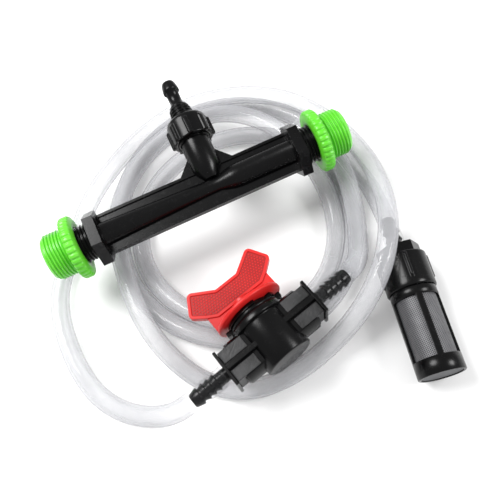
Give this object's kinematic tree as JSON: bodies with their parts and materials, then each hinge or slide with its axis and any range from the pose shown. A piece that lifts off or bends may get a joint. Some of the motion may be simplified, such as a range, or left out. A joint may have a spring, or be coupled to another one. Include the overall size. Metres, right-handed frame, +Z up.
{
  "type": "venturi injector kit",
  "caption": "Black injector tube with green threaded adapters and a suction branch, an inline ball valve with a red butterfly handle, a mesh suction strainer and clear hose.",
  "frame": {"origin": "middle of the footprint of the kit without its hoses, on the plane it lies on", "axes": "+X along the injector tube towards its nozzle end, +Y along the suction branch, +Z up"},
  "size_m": [0.2149, 0.2266, 0.0611],
  "materials": {
    "black_plastic": "moulded, satin, slightly textured",
    "green_plastic": "moulded, glossy",
    "red_plastic": "moulded, satin",
    "clear_hose": "clear, smooth",
    "black_rubber": "smooth",
    "seat_plastic": "waxy white",
    "ball_plastic": "smooth grey",
    "steel": "bright",
    "woven_steel": "fine woven mesh"
  },
  "bodies": {
    "root": {"venturi_body": "black_plastic", "check_spring": "steel", "valve_body": "black_plastic", "valve_seat_left": "seat_plastic", "valve_seat_right": "seat_plastic", "valve_bonnet": "black_plastic", "strainer_fitting": "black_plastic", "hose_loop": "clear_hose", "hose_coil": "clear_hose", "hose_lead": "clear_hose", "hose_short": "clear_hose"},
    "left_seal": {"left_gasket": "black_rubber"},
    "left_screw": {"left_adapter": "green_plastic"},
    "right_seal": {"right_gasket": "black_rubber"},
    "right_screw": {"right_adapter": "green_plastic"},
    "suction_stub": {"suction_barb": "black_plastic", "suction_gasket": "black_rubber"},
    "nut_ring": {"suction_nut": "black_plastic"},
    "strainer_seal": {"strainer_gasket": "black_rubber"},
    "strainer_housing": {"strainer_cap": "black_plastic", "strainer_cage": "black_plastic", "strainer_mesh": "woven_steel"},
    "valve_turn": {"valve_handle": "red_plastic", "valve_stem": "black_plastic", "valve_ball": "ball_plastic", "stem_ring": "black_rubber"},
    "check_poppet": {"check_ball": "black_rubber"}
  },
  "joints": [
    {"name": "left_adapter_travel", "type": "slide", "parent": "root", "child": "left_seal", "axis": [-1, 0, 0], "range_m": [0, 0.00907]},
    {"name": "left_adapter_turn", "type": "hinge", "parent": "left_seal", "child": "left_screw", "pos_m": [-0.07535, 0.03644, 0.041], "axis": [-1, 0, 0], "range_deg": [0, 1801]},
    {"name": "right_adapter_travel", "type": "slide", "parent": "root", "child": "right_seal", "axis": [1, 0, 0], "range_m": [0, 0.00907]},
    {"name": "right_adapter_turn", "type": "hinge", "parent": "right_seal", "child": "right_screw", "pos_m": [0.06385, 0.03644, 0.041], "axis": [1, 0, 0], "range_deg": [0, 1801]},
    {"name": "suction_nut_travel", "type": "slide", "parent": "root", "child": "suction_stub", "axis": [0, 0.9848, 0.1736], "range_m": [0, 0.0075]},
    {"name": "suction_nut_turn", "type": "hinge", "parent": "suction_stub", "child": "nut_ring", "pos_m": [0.00425, 0.07189, 0.04725], "axis": [0, 0.9848, 0.1736], "range_deg": [0, 1801]},
    {"name": "strainer_housing_travel", "type": "slide", "parent": "root", "child": "strainer_seal", "axis": [-0.1908, -0.9816, 0], "range_m": [0, 0.009]},
    {"name": "strainer_housing_turn", "type": "hinge", "parent": "strainer_seal", "child": "strainer_housing", "pos_m": [0.07906, -0.04734, 0.01455], "axis": [-0.1908, -0.9816, 0], "range_deg": [0, 1621]},
    {"name": "valve_handle", "type": "hinge", "parent": "root", "child": "valve_turn", "pos_m": [-0.00255, -0.05256, 0.0318], "axis": [-0.2588, 0.9659, 0], "range_deg": [0, 90]},
    {"name": "check_valve", "type": "slide", "parent": "root", "child": "check_poppet", "axis": [0, -0.9848, -0.1736], "range_m": [0, 0.0015], "stiffness_N_per_m": 20, "springref_m": -0.002}
  ],
  "couplings": [
    {"joint": "left_adapter_turn", "follows": "left_adapter_travel", "rad_per_m": 3463.7},
    {"joint": "right_adapter_turn", "follows": "right_adapter_travel", "rad_per_m": 3463.7},
    {"joint": "suction_nut_turn", "follows": "suction_nut_travel", "rad_per_m": 4188.8},
    {"joint": "strainer_housing_turn", "follows": "strainer_housing_travel", "rad_per_m": 3141.6}
  ]
}
